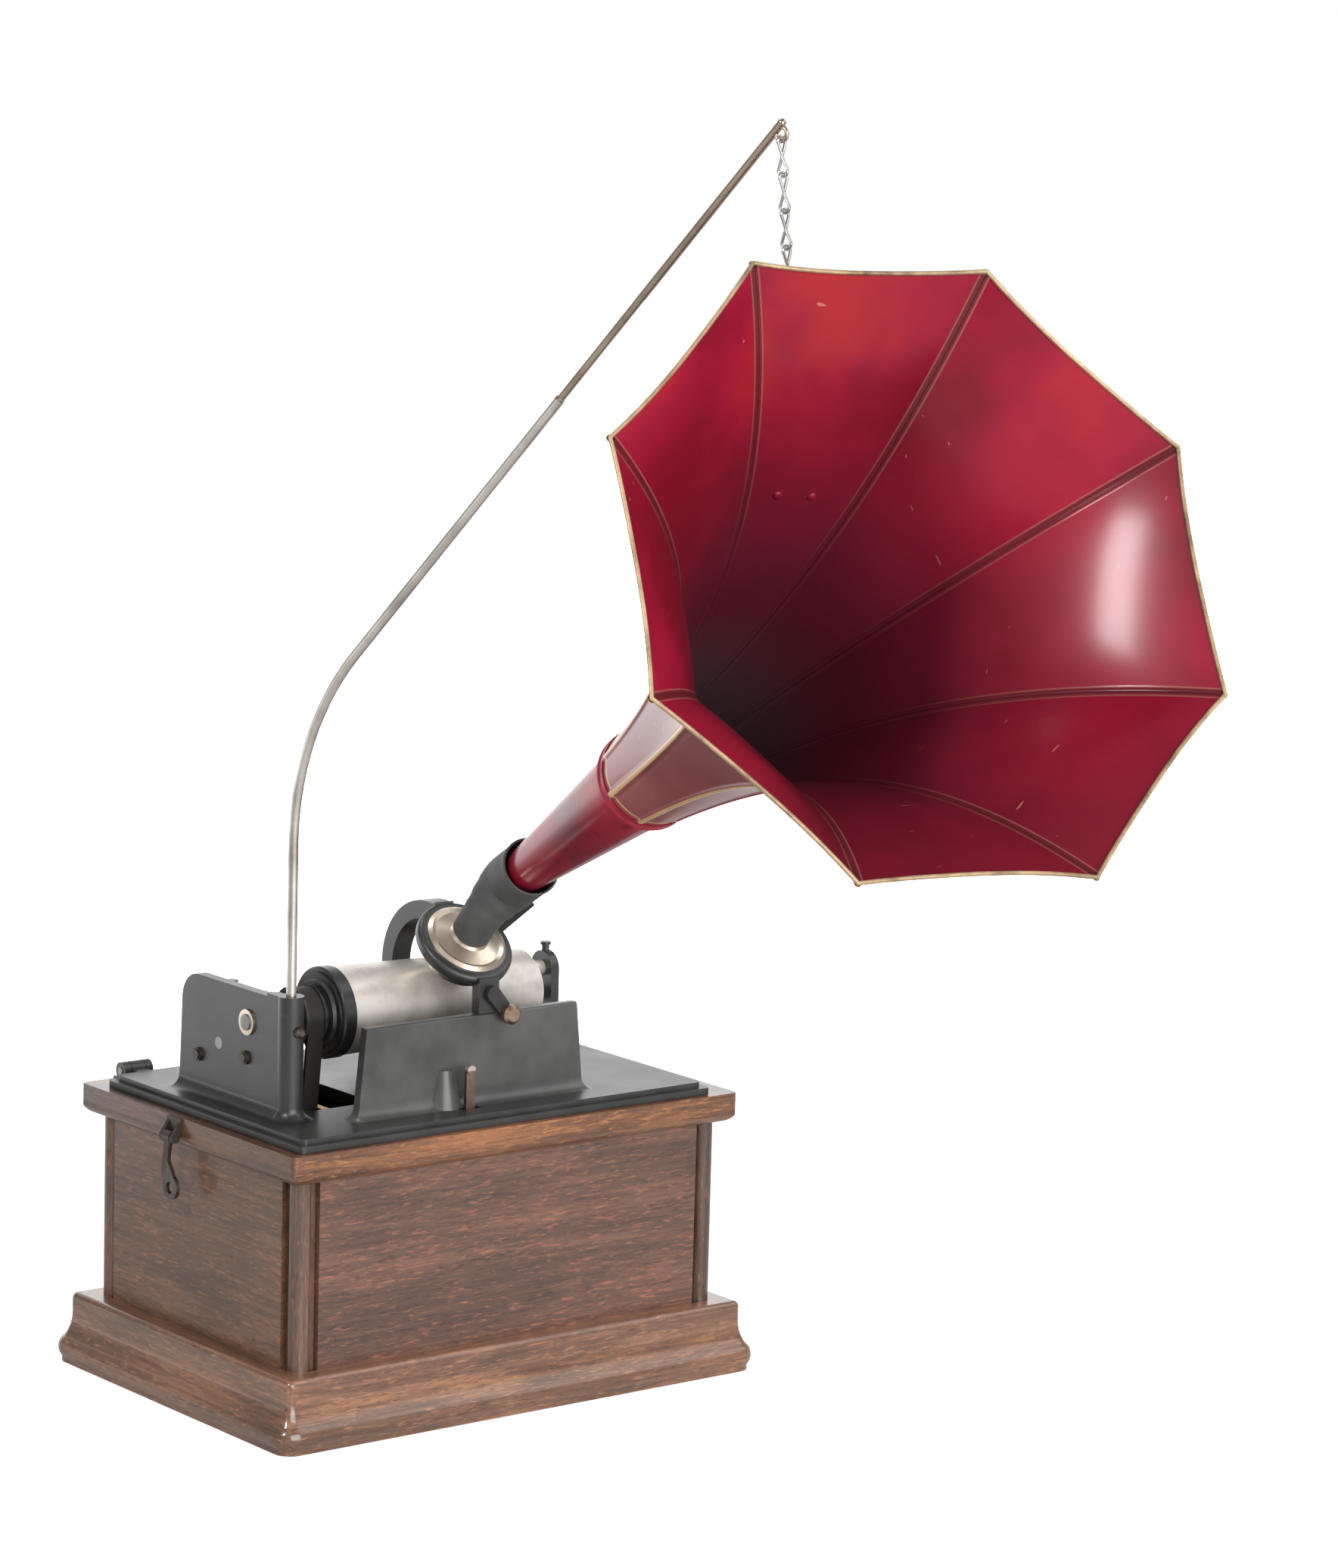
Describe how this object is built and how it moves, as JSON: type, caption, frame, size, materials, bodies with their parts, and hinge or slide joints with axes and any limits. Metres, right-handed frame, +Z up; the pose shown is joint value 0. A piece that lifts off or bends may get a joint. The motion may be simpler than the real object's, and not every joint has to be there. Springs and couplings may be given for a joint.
{
  "type": "cylinder phonograph",
  "caption": "Table-top spring-driven cylinder phonograph: oak case, hinged bedplate with open gear train and mandrel, travelling reproducer, panelled horn hung from a crane by a chain",
  "frame": {"origin": "middle of the case's footprint on the table", "axes": "+X to the right seen from the front, +Y to the rear, +Z up"},
  "size_m": [0.4233, 0.6356, 0.6456],
  "materials": {
    "oak": "varnished",
    "rim_oak": "varnished",
    "japan": "gloss",
    "nickel": "polished",
    "steel": "satin",
    "brass": "satin",
    "grip": "varnished",
    "belt": "matte",
    "rubber": "matte",
    "ruby": "gloss",
    "gilt": "satin"
  },
  "bodies": {
    "cabinet": {"base_moulding": "oak", "floor_board": "oak", "front_board": "oak", "rear_board": "oak", "left_board": "oak", "right_board": "oak", "corner_posts": "oak", "top_rim": "rim_oak", "hinge_leaves": "japan", "hinge_pins": "steel", "clasp_plates": "steel", "crank_bush": "nickel"},
    "bedplate": {"bedplate": "japan", "side_wall": "japan", "front_wall": "japan", "bearing_post": "japan", "rear_posts": "japan", "back_rod": "nickel", "mandrel_bush": "nickel", "idler_stud": "steel", "wall_screws": "steel", "brake_bracket": "japan", "motor_plate_left": "brass", "motor_plate_right": "brass", "motor_pillars": "steel", "ratchet_housing": "steel", "drive_belt": "belt"},
    "crank": {"crank_arm": "nickel"},
    "grip": {"crank_grip": "grip"},
    "arbor": {"winding_arbor": "steel"},
    "barrel": {"spring_barrel": "brass"},
    "drive": {"drive_shaft": "steel", "drive_gear": "brass", "drive_pulley": "japan"},
    "governor": {"governor_spindle": "steel", "governor_disc": "brass", "governor_springs": "steel", "governor_weights": "brass"},
    "mandrel": {"mandrel_shaft": "nickel", "mandrel_pulley": "japan", "mandrel_flange": "japan", "mandrel": "nickel"},
    "idler": {"idler_gear": "brass"},
    "feed": {"feed_screw": "steel"},
    "carriage": {"carriage_bush": "nickel"},
    "arm": {"carriage_arm": "japan", "half_nut": "steel", "reproducer": "nickel", "diaphragm": "steel", "stylus_weight": "nickel", "rubber_connector": "rubber"},
    "lift_lever": {"lift_lever": "nickel"},
    "horn": {"horn_cone": "ruby", "horn_bell": "ruby", "bell_edge": "gilt"},
    "crane": {"crane": "nickel"},
    "chain": {"chain": "steel"},
    "start_lever": {"start_lever": "nickel"},
    "clasp_left": {"clasp_left": "steel"},
    "clasp_right": {"clasp_right": "steel"}
  },
  "joints": [
    {"name": "bedplate_tilt", "type": "hinge", "parent": "cabinet", "child": "bedplate", "pos_m": [0, 0.0879, 0.1495], "axis": [-1, 0, 0], "range_deg": [0, 65]},
    {"name": "crank_turn", "type": "hinge", "parent": "cabinet", "child": "crank", "pos_m": [0.13, 0.02, 0.075], "axis": [1, 0, 0], "continuous": true},
    {"name": "grip_spin", "type": "hinge", "parent": "crank", "child": "grip", "pos_m": [0.19, 0.075, 0.075], "axis": [1, 0, 0], "continuous": true},
    {"name": "arbor_turn", "type": "hinge", "parent": "bedplate", "child": "arbor", "pos_m": [0.07, 0.02, 0.075], "axis": [1, 0, 0], "continuous": true},
    {"name": "barrel_spin", "type": "hinge", "parent": "bedplate", "child": "barrel", "pos_m": [0, 0.02, 0.075], "axis": [1, 0, 0], "continuous": true},
    {"name": "drive_spin", "type": "hinge", "parent": "bedplate", "child": "drive", "pos_m": [0, -0.00801, 0.11398], "axis": [1, 0, 0], "continuous": true},
    {"name": "governor_spin", "type": "hinge", "parent": "bedplate", "child": "governor", "pos_m": [0, -0.03751, 0.10382], "axis": [1, 0, 0], "continuous": true},
    {"name": "mandrel_spin", "type": "hinge", "parent": "bedplate", "child": "mandrel", "pos_m": [0, -0.0195, 0.194], "axis": [1, 0, 0], "continuous": true},
    {"name": "idler_spin", "type": "hinge", "parent": "bedplate", "child": "idler", "pos_m": [-0.1015, 0.00623, 0.17877], "axis": [1, 0, 0], "continuous": true},
    {"name": "feed_spin", "type": "hinge", "parent": "bedplate", "child": "feed", "pos_m": [0, 0.036, 0.176], "axis": [1, 0, 0], "continuous": true},
    {"name": "carriage_slide", "type": "slide", "parent": "bedplate", "child": "carriage", "axis": [1, 0, 0], "range_m": [-0.044, 0.042]},
    {"name": "arm_lift", "type": "hinge", "parent": "carriage", "child": "arm", "pos_m": [-0.0024, 0.027, 0.191], "axis": [-1, 0, 0], "range_deg": [0, 6]},
    {"name": "lift_lever_turn", "type": "hinge", "parent": "arm", "child": "lift_lever", "pos_m": [-0.0014, -0.0692, 0.2052], "axis": [0, 1, 0], "range_deg": [-1, 85]},
    {"name": "horn_pivot", "type": "hinge", "parent": "arm", "child": "horn", "pos_m": [0.00582, -0.08643, 0.26947], "axis": [-1, 0, 0], "range_deg": [-8.6, 0.5]},
    {"name": "crane_swivel", "type": "hinge", "parent": "bedplate", "child": "crane", "pos_m": [-0.106, -0.048, 0.2], "axis": [0, 0, 1], "range_deg": [-8.7, 8.3]},
    {"name": "chain_swing", "type": "hinge", "parent": "crane", "child": "chain", "pos_m": [-0.04494, -0.32804, 0.63696], "axis": [1, 0, 0], "range_deg": [-4, 4.2]},
    {"name": "start_lever_rock", "type": "hinge", "parent": "bedplate", "child": "start_lever", "pos_m": [-0.0176, -0.06, 0.1405], "axis": [0, 1, 0], "range_deg": [0, 5]},
    {"name": "clasp_left_swing", "type": "hinge", "parent": "cabinet", "child": "clasp_left", "pos_m": [-0.1388, 0.008, 0.1345], "axis": [0, 1, 0], "range_deg": [0, 100]},
    {"name": "clasp_right_swing", "type": "hinge", "parent": "cabinet", "child": "clasp_right", "pos_m": [0.1388, 0.008, 0.1345], "axis": [0, -1, 0], "range_deg": [0, 100]}
  ],
  "couplings": [
    {"joint": "arbor_turn", "follows": "crank_turn", "ratio": 1},
    {"joint": "drive_spin", "follows": "barrel_spin", "ratio": -4},
    {"joint": "governor_spin", "follows": "barrel_spin", "ratio": 13.333},
    {"joint": "mandrel_spin", "follows": "barrel_spin", "ratio": -5},
    {"joint": "idler_spin", "follows": "barrel_spin", "ratio": 3.8462},
    {"joint": "feed_spin", "follows": "barrel_spin", "ratio": -5},
    {"joint": "lift_lever_turn", "follows": "arm_lift", "ratio": 14},
    {"joint": "horn_pivot", "follows": "arm_lift", "ratio": -1.386},
    {"joint": "crane_swivel", "follows": "carriage_slide", "rad_per_m": 3.356},
    {"joint": "chain_swing", "follows": "carriage_slide", "rad_per_m": -1.58}
  ]
}
